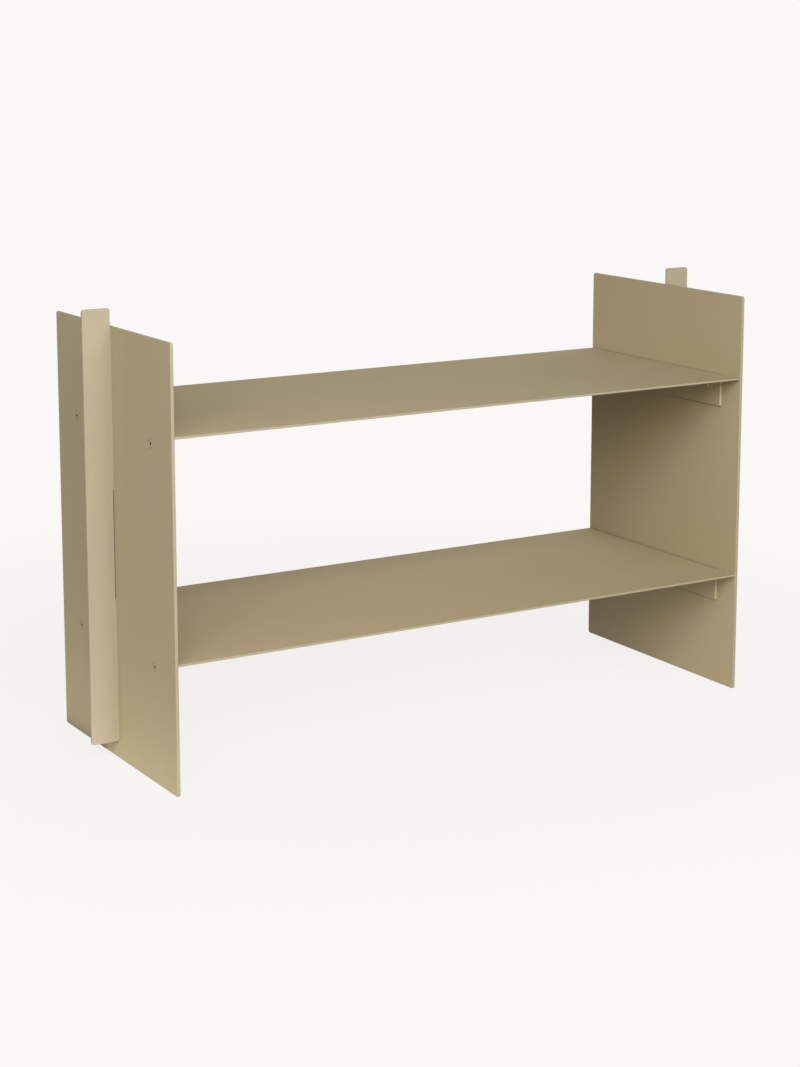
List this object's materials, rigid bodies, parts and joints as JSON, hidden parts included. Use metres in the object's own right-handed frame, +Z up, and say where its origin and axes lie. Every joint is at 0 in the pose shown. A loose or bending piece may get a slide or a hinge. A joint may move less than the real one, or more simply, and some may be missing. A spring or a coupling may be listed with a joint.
{
  "type": "wall shelf",
  "caption": "Folded sheet-steel shelves screwed between flat side plates, each plate with an upright fin outside. Hangs on a wall and holds books.",
  "frame": {"origin": "centre of the four wall holes, in the plane of the wall", "axes": "+X to the viewer's right, +Y into the wall, +Z up"},
  "size_m": [0.676, 0.248, 0.416],
  "materials": {
    "body_coat": "smooth matt olive-beige powder coat",
    "screw_coat": "matt olive-beige paint",
    "nut_coat": "matt olive-beige powder coat over steel"
  },
  "bodies": {
    "root": {"left_gable": "body_coat", "right_gable": "body_coat", "left_fin": "body_coat", "right_fin": "body_coat", "left_fin_welds": "body_coat", "right_fin_welds": "body_coat", "upper_shelf": "body_coat", "lower_shelf": "body_coat", "upper_left_front_screw": "screw_coat", "upper_left_front_nut": "nut_coat", "upper_left_rear_screw": "screw_coat", "upper_left_rear_nut": "nut_coat", "upper_right_front_screw": "screw_coat", "upper_right_front_nut": "nut_coat", "upper_right_rear_screw": "screw_coat", "upper_right_rear_nut": "nut_coat", "lower_left_front_screw": "screw_coat", "lower_left_front_nut": "nut_coat", "lower_left_rear_screw": "screw_coat", "lower_left_rear_nut": "nut_coat", "lower_right_front_screw": "screw_coat", "lower_right_front_nut": "nut_coat", "lower_right_rear_screw": "screw_coat", "lower_right_rear_nut": "nut_coat"}
  },
  "joints": []
}
